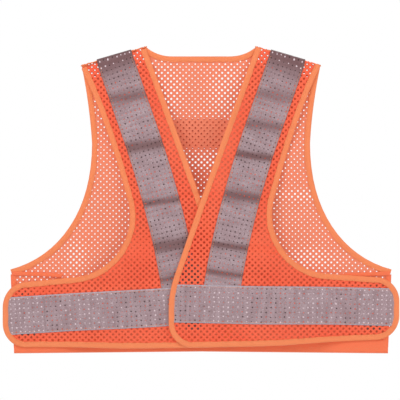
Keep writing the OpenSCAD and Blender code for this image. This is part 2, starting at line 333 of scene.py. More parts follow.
def back_surface_of(side):
    """The back as a surface over side distance, for pieces that are drawn on the left and mirrored."""
    return lambda x, z: back_surface(side * x, z)


def kept_over_threads(surface):
    """Draws the knit of a front in where it stands forward, so its holes stay over the back's threads."""
    def draw(points):
        ahead = (surface(points[:, 0], points[:, 1]) - BACK_Y) / VIEWING_DISTANCE
        return MIDDLE + (points - MIDDLE) * (1 + ahead)[:, None]
    return draw


PULLED_UP = 4.6         # one row of the knit


def drifted(points):
    """The knit of the back wanders a little, so its holes meet those of the fronts here and there.
    At the shoulders it is pulled up by a row, because the two layers are joined hole to hole."""
    x, z = points[:, 0], points[:, 1]
    pulled = smooth((above_shoulder(x, z) + 44) / 30) * smooth((np.abs(x) - 64) / 22)
    across = 1.9 * waves(x * 0.55, z * 0.6, 2.6) * (1 - pulled)
    up = 1.2 * waves(x * 0.5, z * 0.45, 0.9) * (1 - pulled) + PULLED_UP * pulled
    return points + np.stack([across, up], 1)


# ---------------------------------------------------------------- meshes
def new_piece(name, points, faces, material, attributes=None):
    """A piece from points in millimetres and a list of face arrays."""
    mesh = bpy.data.meshes.new(name)
    quads = [tuple(int(i) for i in f) for group in faces for f in group]
    mesh.from_pydata((np.asarray(points) * MM).tolist(), [], quads)
    for key, values in (attributes or {}).items():
        layer = mesh.attributes.new(key, "FLOAT_VECTOR", "POINT")
        layer.data.foreach_set("vector", np.asarray(values, np.float32).ravel())
    mesh.polygons.foreach_set("use_smooth", np.ones(len(mesh.polygons), bool))
    mesh.materials.append(material)
    mesh.validate()
    mesh.update()
    piece = bpy.data.objects.new(name, mesh)
    bpy.context.scene.collection.objects.link(piece)
    return piece


def edge_distance(points, outline):
    """Signed distance inside a closed outline, and the nearest point on it."""
    best = np.full(len(points), 1e9)
    near = np.zeros_like(points)
    inside = np.zeros(len(points), bool)
    for a, b in zip(outline, np.roll(outline, -1, axis=0)):
        run = b - a
        t = np.clip(((points - a) @ run) / max(run @ run, 1e-9), 0, 1)
        foot = a + t[:, None] * run
        away = np.linalg.norm(points - foot, axis=1)
        closer = away < best
        best[closer], near[closer] = away[closer], foot[closer]
        if a[1] != b[1]:
            crosses = ((a[1] > points[:, 1]) != (b[1] > points[:, 1]))
            at = a[0] + (points[:, 1] - a[1]) * run[0] / run[1]
            inside ^= crosses & (points[:, 0] < at)
    return np.where(inside, best, -best), near


def pulled_inside(points, outline, least):
    """Moves points that are nearer to an outline than a least distance, or past it, back inside it."""
    depth, near = edge_distance(points, outline)
    out = points - near
    length = np.maximum(np.linalg.norm(out, axis=1), 1e-6)[:, None]
    direction = np.where(depth[:, None] < 0, -out, out) / length
    return np.where((depth < least)[:, None], near + direction * least, points)


def between_rings(outer, inner):
    """Quads between rows of rings, each ring a row of point numbers."""
    corners = [outer, np.roll(outer, -1, 1), np.roll(inner, -1, 1), inner]
    return np.stack(corners, 2).reshape(-1, 4)


def holed(key, centre, size, lip, directions):
    """A grid with a hole in every cell, from the eight corner keys, centre and hole size of each cell.
    Gives the keys of the corners, the points of the outer and inner rings, the quads between them all,
    and the numbers of the inner rings."""
    unique, index = np.unique(key.reshape(-1, 2), axis=0, return_inverse=True)
    spoke = directions / np.linalg.norm(directions, axis=1)[:, None]
    rim, hole = [(centre[:, None] + (size[:, None, None] + more) * spoke).reshape(-1, 2)
                 for more in (lip, 0.0)]
    first = len(unique) + np.arange(8 * len(centre)).reshape(-1, 8)
    second = first + 8 * len(centre)
    quads = [between_rings(index.reshape(-1, 8), first), between_rings(first, second)]
    return unique, rim, hole, quads, second


# Round each hole, in quarters of the spacing between its neighbours
EIGHT = np.array([(2, 0), (1, 1), (0, 2), (-1, 1), (-2, 0), (-1, -1), (0, -2), (1, -1)])


THREAD_LIP, THREAD_WALL, THREAD_CROWN = 0.35, 0.5, 0.12      # the rounding of the threads
LEAST_HOLE_IN = 0.6                                           # holes this far inside the outline are kept


def knitted_mesh(outline, pitch, radius, surface, face, lay, phase=0, keep=None, edge=1.2):
    """Points and quads of an open diamond mesh inside an outline.
    pitch is the hole spacing across and between rows, radius(x, z) the size of each hole,
    face is the side of the cloth that is seen, +1 or -1, and lay(points) places the even knit on the cloth.
    The cloth ends at the distance edge inside the outline."""
    low, high = outline.min(0), outline.max(0)
    a = np.arange(int(low[0] / pitch[0] * 2) - 2, int(high[0] / pitch[0] * 2) + 3)
    b = np.arange(int(low[1] / pitch[1]) - 2, int(high[1] / pitch[1]) + 3)
    a, b = [g.ravel() for g in np.meshgrid(a, b)]
    right = (a + b + phase) % 2 == 0
    cell = np.stack([a[right], b[right]], 1)
    half = np.array([pitch[0] / 2, pitch[1]])
    centre = cell * half
    depth, _ = edge_distance(lay(centre), outline)
    use = depth > LEAST_HOLE_IN
    if keep is not None:
        use &= keep(centre[:, 0])
    cell, centre = cell[use], centre[use]
    centre = lay(centre)
    size = radius(centre[:, 0], centre[:, 1])
    unique, rim, hole, quads, _ = holed(2 * cell[:, None] + EIGHT, centre, size, THREAD_LIP, EIGHT)
    corners = lay(unique / 2 * half)
    flat = pulled_inside(np.concatenate([corners, rim, hole]), outline, edge)
    crown = np.repeat([THREAD_CROWN, 0.0, -THREAD_WALL], [len(corners), len(rim), len(hole)])
    y = surface(flat[:, 0], flat[:, 1]) + face * crown
    return np.stack([flat[:, 0], y, flat[:, 1]], 1), quads


def dressed(name, side, facing, points, quads, kind, attributes):
    """A piece of a kind of material, drawn for the left side and mirrored for the right.
    Its faces are drawn for the front, and turned round where facing is above 0."""
    if (facing > 0) != (side == RIGHT):
        quads = [q[:, ::-1] for q in quads]
    return new_piece(name, points * [side, 1, 1], quads, paint(kind), attributes)


def swept(rows, closed_profile=True):
    """Quads that join rows of points, each row one cross section."""
    count, width = rows.shape[:2]
    index = np.arange(count * width).reshape(count, width)
    ahead = np.roll(index, -1, 1)
    last = width if closed_profile else width - 1
    corners = [index[:-1, :last], ahead[:-1, :last], ahead[1:, :last], index[1:, :last]]
    return [np.stack(corners, 2).reshape(-1, 4)]


# Half the cross section of a binding, from its inner edge to the fold: share of its width, height
BINDING_PROFILE = [(1.0, 0.30), (0.965, 0.95), (0.86, 1.0), (0.80, 0.86), (0.72, 1.06), (0.45, 1.16),
                   (0.16, 1.1), (0.04, 0.75)]
BINDING_PLY = CLOTH_T / 2 + 0.68           # height of a binding over the middle of the cloth


def folded_tape(path, surface, outside, width, seed):
    """Rows of points of an edge binding folded round a cloth edge.
    path runs with the cloth on its left; outside is -1 for the front and +1 for the back."""
    line, at = resample(np.asarray(path, float), 2.6)
    normal = inward(line)
    far_half = [(share, -height) for share, height in BINDING_PROFILE[::-1]]
    profile = BINDING_PROFILE + [(-0.01, 0.0)] + far_half
    pucker = 0.22 * np.sin(at / 3.1 + seed) + 0.16 * np.sin(at / 7.7 + 2 * seed)
    rows, runs = [], []
    for share, height in profile:
        spot = line + normal * (share * width + pucker * (share > 0.5))[:, None]
        swell = height * BINDING_PLY * (1 + 0.10 * np.sin(at / 2.4 + seed + share))
        y = surface(spot[:, 0], spot[:, 1]) + outside * swell
        rows.append(np.stack([spot[:, 0], y, spot[:, 1]], 1))
        runs.append(np.stack([at, np.full_like(at, share * width), np.full_like(at, seed * 9)], 1))
    return np.stack(rows, 1), np.stack(runs, 1)


def seam_line(path, surface, outside, inset, height, pitch, length):
    """Middle points and directions of the stitches that run beside an edge."""
    line, at = resample(np.asarray(path, float), 1.2)
    line = line + inward(line) * inset
    spots = np.arange(pitch, at[-1] - pitch, pitch)
    ends = []
    for shift in (-length / 2, length / 2):
        x = np.interp(spots + shift, at, line[:, 0])
        z = np.interp(spots + shift, at, line[:, 1])
        ends.append(np.stack([x, surface(x, z) + outside * height, z], 1))
    return np.stack(ends, 1)


def stitches(ends, radius):
    """Points and quads of short rounded threads between pairs of ends."""
    start, run = ends[:, 0], ends[:, 1] - ends[:, 0]
    along = run / np.linalg.norm(run, axis=1)[:, None]
    across = np.cross(along, [0, 1, 0])
    across /= np.linalg.norm(across, axis=1)[:, None]
    up = np.cross(across, along)
    rings = []
    for t, r in ((0.0, 0.25), (0.14, 0.9), (0.5, 1.1), (0.86, 0.9), (1.0, 0.25)):
        rings.append(np.stack([start + run * t + radius * r * (math.cos(k) * across + math.sin(k) * up)
                               for k in np.radians([0, 72, 144, 216, 288])], 1))
    index = np.arange(len(ends) * 25).reshape(-1, 5, 5)
    return np.stack(rings, 1).reshape(-1, 3), [between_rings(index[:, i], index[:, i + 1]) for i in range(4)]


def perforated(place, length, width, cell, hole, thick, plugged):
    """Points and quads of a tape with a square grid of pinholes.
    place(u, v, out) gives the points at u along and v across the tape, out above its face.
    plugged(u, v) is 1 where a pinhole is capped with painted shade, -1 where it is capped with painted
    light, and 0 where open."""
    nu, nv = max(1, int(round(length / cell))), max(1, int(round(width / cell)))
    du, dv = length / nu, width / nv
    i, j = [g.ravel() for g in np.meshgrid(np.arange(nu), np.arange(nv), indexing="ij")]
    steps = np.array([(2, 1), (2, 2), (1, 2), (0, 2), (0, 1), (0, 0), (1, 0), (2, 0)])
    wander = np.stack([np.sin(12.9 * i + 78.2 * j), np.sin(39.3 * i - 11.1 * j)], 1)
    centre = np.stack([(i + 0.5) * du, (j + 0.5) * dv], 1) + PINHOLE_WANDER * wander
    size = hole * (1 + 0.22 * np.sin(7.7 * i + 5.3 * j))
    unique, rim, ring, quads, second = holed(2 * np.stack([i, j], 1)[:, None] + steps, centre, size,
                                             PINHOLE_LIP, steps - 1)
    grid = unique * [du / 2, dv / 2]
    number = {tuple(k): m for m, k in enumerate(unique)}
    border = [(u, 0) for u in range(2 * nu)] + [(2 * nu, v) for v in range(2 * nv)] \
        + [(u, 2 * nv) for u in range(2 * nu, 0, -1)] + [(0, v) for v in range(2 * nv, 0, -1)]
    top = np.array([number[k] for k in border])
    flat = np.concatenate([grid, rim, ring, grid[top]])
    out = np.repeat([thick + 0.04, thick, 0.1, 0.02], [len(grid), len(rim), len(ring), len(top)])
    foot = len(flat) - len(top) + np.arange(len(top))
    points = place(flat[:, 0], flat[:, 1] - width / 2, out)
    # Capped pinholes carry painted shade where plugged is 1 and painted light where it is -1
    painted_dots = plugged(centre[:, 0], centre[:, 1])
    shut = painted_dots != 0
    rings = second[shut]
    hub = len(flat) + np.arange(len(rings))
    closed = [np.stack([rings[:, k], rings[:, (k + 1) % 8], rings[:, (k + 2) % 8], hub], 1)
              for k in (0, 2, 4, 6)]
    quads += [np.stack([top, foot, np.roll(foot, -1), np.roll(top, -1)], 1), np.concatenate(closed)]
    dark = np.concatenate([np.zeros(len(flat)), painted_dots[shut]])
    dark[rings.ravel()] = np.repeat(painted_dots[shut], 8)
    run = np.concatenate([flat, centre[shut]])
    points = np.concatenate([points, points[rings].mean(1)])
    return points, quads, np.column_stack([run, np.zeros(len(run))]), dark


# ---------------------------------------------------------------- node tools and shared effects
def add(tree, kind, settings=None, inputs=None):
    """A new node with its settings, and inputs that are given a value or linked from a socket."""
    node = tree.nodes.new(kind)
    for key, value in (settings or {}).items():
        setattr(node, key, value)
    for key, value in (inputs or {}).items():
        socket = node.inputs[key]
        if isinstance(value, bpy.types.NodeSocket):
            tree.links.new(value, socket)
        else:
            socket.default_value = value
    return node


def math_node(tree, operation, a, b=0.0):
    return add(tree, "ShaderNodeMath", {"operation": operation}, {0: a, 1: b}).outputs[0]


def tint(tree, factor, a, b):
    """Colour a mixed with colour b by a factor."""
    node = add(tree, "ShaderNodeMix", {"data_type": "RGBA"}, {"Factor": factor, "A": a, "B": b})
    return node.outputs["Result"]


def new_group(name, inputs, outputs):
    """An empty node group with named sockets, its input node and its output node."""
    tree = bpy.data.node_groups.new(name, "ShaderNodeTree")
    for label, kind, value in inputs:
        socket = tree.interface.new_socket(name=label, in_out="INPUT", socket_type=kind)
        if value is not None:
            socket.default_value = value
    for label, kind in outputs:
        tree.interface.new_socket(name=label, in_out="OUTPUT", socket_type=kind)
    return tree, add(tree, "NodeGroupInput"), add(tree, "NodeGroupOutput")


def yarn_relief_group():
    """Height and shade of threads that cross at given spacings, with loose fibres on them."""
    tree, given, out = new_group(
        "Yarn Relief",
        [("Run", "NodeSocketVector", None), ("Along", "NodeSocketFloat", 1.0),
         ("Across", "NodeSocketFloat", 1.0), ("Fuzz", "NodeSocketFloat", 0.4)],
        [("Height", "NodeSocketFloat"), ("Shade", "NodeSocketFloat")])
    parts = add(tree, "ShaderNodeSeparateXYZ", inputs={0: given.outputs["Run"]})
    ribs = []
    for axis, spacing in ((0, "Along"), (1, "Across")):
        turn = math_node(tree, "DIVIDE", parts.outputs[axis], given.outputs[spacing])
        ribs.append(math_node(tree, "SINE", math_node(tree, "MULTIPLY", turn, math.tau)))
    crossing = math_node(tree, "MULTIPLY", ribs[0], ribs[1])
    fibre = add(tree, "ShaderNodeTexNoise",
                inputs={"Vector": given.outputs["Run"], "Scale": 1.9, "Detail": 4.0})
    loose = math_node(tree, "MULTIPLY", fibre.outputs["Fac"], given.outputs["Fuzz"])
    height = math_node(tree, "ADD", math_node(tree, "MULTIPLY", crossing, 0.3), loose)
    tree.links.new(height, out.inputs["Height"])
    shade = add(tree, "ShaderNodeMapRange", inputs={"Value": height, "From Min": -0.3, "From Max": 0.8})
    tree.links.new(shade.outputs["Result"], out.inputs["Shade"])
    return tree


def cloth_patch_group():
    """Broad uneven patches and fine specks over them: dye and handling on the yarns, painted highlights and
    painted wrinkle shade on the tape.
    """
    tree, given, out = new_group(
        "Cloth Patches",
        [("Run", "NodeSocketVector", None), ("Patch Scale", "NodeSocketFloat", 0.02),
         ("Speck Scale", "NodeSocketFloat", 0.6)],
        [("Patches", "NodeSocketFloat"), ("Specks", "NodeSocketFloat")])
    for label, source, low, high in (("Patches", "Patch Scale", 0.34, 0.66),
                                     ("Specks", "Speck Scale", 0.4, 0.62)):
        noise = add(tree, "ShaderNodeTexNoise",
                    inputs={"Vector": given.outputs["Run"], "Scale": given.outputs[source], "Detail": 3.0})
        spread = add(tree, "ShaderNodeMapRange",
                     inputs={"Value": noise.outputs["Fac"], "From Min": low, "From Max": high})
        tree.links.new(spread.outputs["Result"], out.inputs[label])
    return tree


def shared(name, make):
    return bpy.data.node_groups.get(name) or make()


def finish_of(name, along, across, fuzz, patch, speck):
    """A new material with its thread relief and patches ready to use."""
    finish = bpy.data.materials.new(name)
    finish.use_nodes = True
    tree = finish.node_tree
    run = add(tree, "ShaderNodeAttribute", {"attribute_name": "run"}).outputs["Vector"]
    relief = add(tree, "ShaderNodeGroup", {"node_tree": shared("Yarn Relief", yarn_relief_group)},
                 {"Run": run, "Along": along, "Across": across, "Fuzz": fuzz})
    marks = add(tree, "ShaderNodeGroup", {"node_tree": shared("Cloth Patches", cloth_patch_group)},
                {"Run": run, "Patch Scale": patch, "Speck Scale": speck})
    return finish, tree, tree.nodes["Principled BSDF"], relief.outputs, marks.outputs


def raise_threads(tree, shader, height, strength, distance):
    bump = add(tree, "ShaderNodeBump", inputs={"Strength": strength, "Distance": distance, "Height": height})
    tree.links.new(bump.outputs["Normal"], shader.inputs["Normal"])


def opaque(colour):
    return (*colour, 1.0)


def darker(colour, share):
    return (*[c * share for c in colour], 1.0)


# What the yarns are like: spacing of the threads along and across with their fuzz, scale of the patches and
# specks, painted shade of the gaps, the mark that shows the worn colour and how much, least roughness, the
# mark that adds to it and how much, strength and depth of the relief, and painted glow and sheen where there
# is any
KNIT = {"threads": (0.9, 1.3, 0.9), "marks": (0.018, 0.35), "gaps": 0.66, "worn": ("Patches", 0.22),
        "rough": (0.5, "Specks", 0.2), "relief": (0.5, 0.0004),
        "glow": 0.10, "sheen": 0.18, "sheen_tint": (1.0, 0.62, 0.45, 1.0)}
WOVEN = {"threads": (1.15, 0.8, 0.5), "marks": (0.03, 0.8), "gaps": 0.72, "worn": ("Patches", 0.3),
         "rough": (0.42, "Specks", 0.25), "relief": (0.7, 0.0005),
         "glow": 0.13, "sheen": 0.15, "sheen_tint": (1.0, 0.8, 0.6, 1.0)}
PILE = {"threads": (1.4, 1.4, 1.0), "marks": (0.05, 0.9), "gaps": 0.5, "worn": ("Specks", 0.4),
        "rough": (0.75, "Patches", 0.2), "relief": (0.9, 0.0006), "sheen": 0.4}
TWISTED = {"threads": (0.5, 0.5, 0.3), "marks": (0.05, 0.9), "gaps": 0.75,
           "rough": (0.35, "Specks", 0.2), "relief": (0.5, 0.0002)}
WORN_SHADE = 0.82       # a yarn with no worn colour of its own is only darker where it is worn

# Yarn, colour and worn colour of each material, the colours by their names in the settings
YARNS = {"knitted_mesh": (KNIT, "mesh", "mesh_worn"), "knitted_mesh_back": (KNIT, "mesh_back", "mesh_worn"),
         "knitted_mesh_patch": (KNIT, "mesh_patch", "mesh_worn"), "binding_tape": (WOVEN, "binding", None),
         "turned_hem": (WOVEN, "hem", None), "hook_and_loop": (PILE, "fastener", "fastener_worn"),
         "sewing_thread": (TWISTED, "thread", None)}


def yarn_material(name, colours):
    """A material of yarn: painted shade between its threads, painted glow where it has any, and worn and
    rougher in places.
    """
    yarn, fresh, worn = YARNS[name]
    finish, tree, shader, relief, marks = finish_of(name, *yarn["threads"], *yarn["marks"])
    colour = getattr(colours, fresh)
    base = tint(tree, relief["Shade"], darker(colour, yarn["gaps"]), opaque(colour))
    if "worn" in yarn:
        mark, share = yarn["worn"]
        worn_colour = opaque(getattr(colours, worn)) if worn else darker(colour, WORN_SHADE)
        base = tint(tree, math_node(tree, "MULTIPLY", marks[mark], share), base, worn_colour)
    tree.links.new(base, shader.inputs["Base Color"])
    least, mark, more = yarn["rough"]
    rough = math_node(tree, "ADD", least, math_node(tree, "MULTIPLY", marks[mark], more))
    tree.links.new(rough, shader.inputs["Roughness"])
    # Painted glow: the base colour is also emitted, so the cloth looks brighter than its lighting makes it
    if "glow" in yarn:
        tree.links.new(base, shader.inputs["Emission Color"])
        shader.inputs["Emission Strength"].default_value = yarn["glow"]
    if "sheen" in yarn:
        shader.inputs["Sheen Weight"].default_value = yarn["sheen"]
        shader.inputs["Sheen Tint"].default_value = yarn.get("sheen_tint", (1.0, 1.0, 1.0, 1.0))
    raise_threads(tree, shader, relief["Height"], *yarn["relief"])
    return finish


def tape_material(name, colours):
    """Glass bead reflective fabric: grey with a mauve cast, with painted highlights in broad patches, and
    painted shade between its threads, in its wrinkles and creases, and towards the shoulder.
    """
    finish, tree, shader, relief, marks = finish_of(name, 0.7, 0.7, 0.6, 0.035, 0.5)
    # press holds painted shade for the creases, painted shade towards the shoulder with a paler belt edge,
    # and which pinholes are capped with painted shade and which with painted light
    press = add(tree, "ShaderNodeAttribute", {"attribute_name": "press"}).outputs["Vector"]
    crease, shade_and_pale_edge, pinhole = add(tree, "ShaderNodeSeparateXYZ", inputs={0: press}).outputs
    run = add(tree, "ShaderNodeAttribute", {"attribute_name": "run"}).outputs["Vector"]
    # Painted shade of fine wrinkles, from patches stretched across the tape
    across = add(tree, "ShaderNodeVectorMath", {"operation": "MULTIPLY"}, {0: run, 1: (1.0, 0.22, 1.0)})
    wrinkle_shade = add(tree, "ShaderNodeGroup", {"node_tree": shared("Cloth Patches", cloth_patch_group)},
                  {"Run": across.outputs[0], "Patch Scale": 0.13, "Speck Scale": 0.4}).outputs["Patches"]
    base = tint(tree, relief["Shade"], darker(colours.tape, 0.86), opaque(colours.tape))
    dark = colours.tape_shade_and_specks
    # Painted highlights in broad patches, painted shade in wrinkles, creases and towards the shoulder,
    # darker specks of grain, a paler belt edge, and painted shade in some capped pinholes and painted light
    # in others
    for mark, share, colour in ((marks["Patches"], 0.45, colours.tape_light), (wrinkle_shade, 0.32, dark),
                                (marks["Specks"], 0.36, dark), (crease, 1.0, dark), (shade_and_pale_edge, 1.0, dark),
                                (shade_and_pale_edge, -1.0, colours.tape_edge), (pinhole, 1.0, colours.painted_shade),
                                (pinhole, -1.0, colours.painted_dots)):
        base = tint(tree, math_node(tree, "MULTIPLY", mark, share), base, opaque(colour))
    tree.links.new(base, shader.inputs["Base Color"])
    rough = math_node(tree, "ADD", 0.38, math_node(tree, "MULTIPLY", marks["Specks"], 0.2))
    tree.links.new(rough, shader.inputs["Roughness"])
    tree.links.new(math_node(tree, "MULTIPLY", marks["Patches"], 0.2), shader.inputs["Metallic"])
    shader.inputs["Sheen Weight"].default_value = 0.2
    raise_threads(tree, shader, relief["Height"], 0.45, 0.0003)
    return finish


def paint(name):
    """The material of a name, made when it is first asked for."""
    make = yarn_material if name in YARNS else tape_material
    return bpy.data.materials.get(name) or make(name, bpy.context.scene.vest_colours)


# ---------------------------------------------------------------- the knitted cloth, and the pieces that ride on the back
def world(point, side):
    """A point (side distance, height) of a front as a point of the frame, in metres."""
    return (side * point[0] * MM, FOLD_Y * MM, point[1] * MM)


def bend_at_front(piece, side):
    """Works out the ends of the soft bend across the slanting fold, which are not used, and bakes the
    piece's transform.
    """
    across = np.array([FOLD_COS, FOLD_SIN])
    start, end = NECK + across * FOLD_OUT, NECK - across * FOLD_IN
    world(start, side)
    world(end, side)
    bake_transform(piece)


def bend_at_tab(piece, side):
    """Works out the ends of the soft bend across the tab's upright fold, which are not used, and bakes the
    piece's transform.
    """
    start, end = (TAB_FOLD_X - TAB_BEND, HEM_SIDE / 2), (TAB_FOLD_X + TAB_BEND, HEM_SIDE / 2)
    world(start, side)
    world(end, side)
    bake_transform(piece)


def stand_for(piece, slot, *nodes):
    if nodes:
        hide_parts(*nodes)
    return piece


def sided(side, *names):
    return [SIDE_NAME[side] + "_" + n for n in names]


def clipped(outline, limit, keep_less):
    """The part of an outline on one side of an upright line."""
    out = []
    for a, b in zip(outline, np.roll(outline, -1, axis=0)):
        if (a[0] <= limit) == keep_less:
            out.append(a)
        if (a[0] <= limit) != (b[0] <= limit):
            out.append(mix(a, b, (limit - a[0]) / (b[0] - a[0])))
    return np.array(out)


def cloth_run(points, seed):
    return np.stack([points[:, 0], points[:, 2], np.full(len(points), seed)], 1)


def knit_pitch(cloth):
    return cloth.hole_across / MM, cloth.hole_rise / MM


# Where the knit is stretched open or pulled together: middle, half width and half height of each patch
OPEN_ON_BACK = [(-56, -69, 30, 50), (40, -69, 34, 50), (6, -182, 36, 16), (-200, -333, 18, 26),
                (174, -340, 52, 20), (170, -237, 50, 10)]
TIGHT_ON_FRONT = [(92, -322, 34, 24), (250, -395, 40, 16)]


def patch_mask(patches):
    def mask(x, z):
        return np.max([smooth(1.35 - np.hypot((x - a) / b, (z - c) / d)) for a, c, b, d in patches], axis=0)
    return mask


def front_radius(base):
    tight = patch_mask(TIGHT_ON_FRONT)
    return lambda x, z: base * (1 + 0.08 * waves(x * 1.7, z * 1.3, 0.4) + 0.05 * np.sin(x / 9 + z / 13)
                                - 0.36 * tight(x, z))


def back_radius(base):
    stretched = patch_mask(OPEN_ON_BACK)
    return lambda x, z: base * (1 + 0.06 * waves(x * 1.4, z * 1.6, 1.9) + 0.04 * np.sin(x / 11 - z / 14)
                                + 0.50 * stretched(x, z))


def front_cloth(side, cloth):
    """The knitted mesh of one front: the main piece with its yoke and side, and the tab beyond it."""
    outline, surface = front_outline(side), front_surface(side)
    for part, keep, nodes, edges, bend in (
            ("front_cloth", lambda x: x <= SPLIT_X, ("front_panel", "front_yoke", "front_side"),
             ("front_edge", "armhole_edge"), bend_at_front),
            ("tab_cloth", lambda x: x > SPLIT_X, ("side_tab",), ("tab_edge",), bend_at_tab)):
        points, quads = knitted_mesh(outline, knit_pitch(cloth), front_radius(cloth.front_hole / MM),
                                     surface, -1, kept_over_threads(surface), phase=1, keep=keep)
        run = cloth_run(points, 40.0 * side)
        piece = dressed(SIDE_NAME[side] + "_" + part, side, -1, points, quads, "knitted_mesh", {"run": run})
        stand_for(piece, "mesh", *sided(side, *nodes))
        bend(piece, side)
        shape = clipped(outline, SPLIT_X, part == "front_cloth")


def cloth_of_back(name, points, quads, kind, seed, node):
    """A mesh that is seen from behind and stays with the back."""
    piece = dressed(name, LEFT, 1, points, quads, kind, {"run": cloth_run(points, seed)})
    stand_for(piece, "mesh", node)
    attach(piece, "back")
    return piece


def back_cloth(cloth):
    """The knitted mesh of the back, which carries everything else."""
    outline = back_outline()
    points, quads = knitted_mesh(outline[::-1], knit_pitch(cloth), back_radius(cloth.back_hole / MM),
                                 back_surface, 1, drifted)
    piece = cloth_of_back("back_cloth", points, quads, "knitted_mesh_back", 0.0, "back_panel")


PATCH_GAP = 0.5         # between the back and the patch on it


def neck_patch(cloth):
    """A second layer of mesh sewn to the outside of the back under the neck, half a hole out of step."""
    low, high = node_box("back_neck_patch")
    outline = np.array([[low[0], low[2]], [high[0], low[2]], [high[0], high[2]], [low[0], high[2]]])
    points, quads = knitted_mesh(outline, knit_pitch(cloth),
                                 lambda x, z: np.full_like(x, cloth.back_hole / MM),
                                 lambda x, z: back_surface(x, z) + CLOTH_T + PATCH_GAP,
                                 1, drifted, phase=1, edge=0.2)
    # The patch's deep red is painted shade.
    piece = cloth_of_back("back_neck_patch_mesh", points, quads, "knitted_mesh_patch", 7.0,
                          "back_neck_patch")


# ---------------------------------------------------------------- bindings
def binding_piece(name, side, path, surface, outside, seed, tape="binding_tape", width=BINDING_W):
    """An edge binding along a path, of the binding tape or of another material."""
    rows, runs = folded_tape(path, surface, outside, width=width, seed=seed)
    quads = swept(rows, closed_profile=False)
    return dressed(name, side, outside, rows.reshape(-1, 3), quads, tape, {"run": runs.reshape(-1, 3)})


def cut_at_split(path):
    """The shares of a path on the main and on the tab side of the upright cut, which meet there."""
    path = np.asarray(path)
    beyond = path[:, 0] > SPLIT_X
    at = int(np.argmax(beyond != beyond[0]))
    cut = mix(path[at - 1], path[at], (SPLIT_X - path[at - 1][0]) / (path[at][0] - path[at - 1][0]))
    return np.concatenate([path[:at], [cut]]), np.concatenate([[cut], path[at:]])


def front_paths(side):
    """Edges of a front, each with the cloth on its left: the opening and hem, the tab, and the armhole."""
    opening, rest_of_hem = cut_at_split(hang(joined(neck_edge(), centre_edge(), hem_edge()), side))
    tab_top, arm = cut_at_split(hang(joined(arm_edge()), side))
    tab = joined(rest_of_hem, hang(joined(tab_edge()), side), tab_top)
    return {"front_edge": opening, "tab_edge": tab, "armhole_edge": arm}


def back_paths():
    """Edges of the left half of the back, each with the cloth on its left."""
    corner, low = back_side_edge()
    return {"back_armhole_edge": back_arm_edge()[::-1],
            "back_side_edge": np.array([mix(corner, low, 0.93), mix(corner, low, 0.06)])}


FACING_IN, FACING_W = 1.6, 6.0       # how far the facing lies inside the back, and its width


def side_facing(side):
    """A narrow turned strip on the inside of the back, just under its armhole."""
    path = [[BACK_SIDE - 3, -BACK_SIDE_TOP - 3], [250.0, -BACK_SIDE_TOP - 5], [222.0, -BACK_SIDE_TOP - 7]]
    surface = back_surface_of(side)
    piece = binding_piece(SIDE_NAME[side] + "_side_facing", side, path,
                          lambda x, z: surface(x, z) - FACING_IN, -1, 2.9 * side, "turned_hem", FACING_W)
    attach(piece, "back")


def back_cross_paths():
    neck = back_neck_half()
    return {"back_neck_edge": np.concatenate([neck[::-1], mirrored(neck)[1:]]),
            "back_hem_edge": back_hem_edge()[::-1]}


def front_bindings(side):
    nodes = {"front_edge": ("front_edge_binding",), "tab_edge": ("tab_binding",),
             "armhole_edge": ("armhole_binding", "yoke_binding", "side_binding")}
    for n, (part, path) in enumerate(front_paths(side).items()):
        piece = binding_piece(SIDE_NAME[side] + "_" + part, side, path, front_surface(side), -1,
                              n + 0.4 * side)
        stand_for(piece, "binding", *sided(side, *nodes[part]))
        (bend_at_tab if part == "tab_edge" else bend_at_front)(piece, side)


def back_bindings():
    for side in (LEFT, RIGHT):
        for part, path in back_paths().items():
            piece = binding_piece(SIDE_NAME[side] + "_" + part, side, path, back_surface_of(side), 1,
                                  0.8 * side, "turned_hem" if part == "back_side_edge" else "binding_tape")
            stand_for(piece, "binding", *sided(side, part.replace("edge", "binding")))
            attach(piece, "back")
        side_facing(side)
    for part, path in back_cross_paths().items():
        made_of = ("turned_hem", HEM_BAND_W) if part == "back_hem_edge" else ("binding_tape", BINDING_W)
        piece = binding_piece(part, LEFT, path, back_surface, 1, 1.7, *made_of)
        stand_for(piece, "binding", part.replace("edge", "binding"))
        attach(piece, "back")


# ---------------------------------------------------------------- reflective tapes
CLOTH_FACE = CLOTH_T / 2 + 0.05
SHOULDER_TAPE_OUT, BELT_OUT = CLOTH_FACE, CLOTH_FACE + 0.05
TAPE_THICK = 0.30
CLIMB, ROLL_TOP = 8.0, 3.1     # where a shoulder tape starts to climb over the roll, and how high
OVER_ROLL = 2.0                # how far it stands out from the cloth on the way
SHOULDER_LEAN = 0.052          # the shoulder line is this much flatter than the end of a tape


def shoulder_run():
    """Centre line of a shoulder tape, from the shoulder line to just under the belt."""
    start, end = np.array([144.0, -2.0]), np.array([92.0, -152.0])
    fall = (end - start)[1] - SHOULDER_SLOPE * (end - start)[0]
    reach = (SHOULDER_SLOPE * (start[0] - NECK_HALF) - start[1]) / fall
    return joined([mix(start, end, reach)], bow(end, [48, -284], [33, -386], 16))


def over_the_shoulder(place, outside):
    """The first stretch of a shoulder tape climbs over the shoulder roll, to meet that of the other side."""
    def climb(u, v, out):
        points = place(u, v, out)
        turn = np.clip(1 - u / CLIMB, 0, 1) * math.pi / 2
        points[:, 1] = BETWEEN_LAYERS + (points[:, 1] - BETWEEN_LAYERS) * np.cos(turn) \
            + outside * OVER_ROLL * np.sin(2 * turn)
        points[:, 2] += (ROLL_TOP + SHOULDER_LEAN * v) * np.sin(turn)
        return points
    return climb


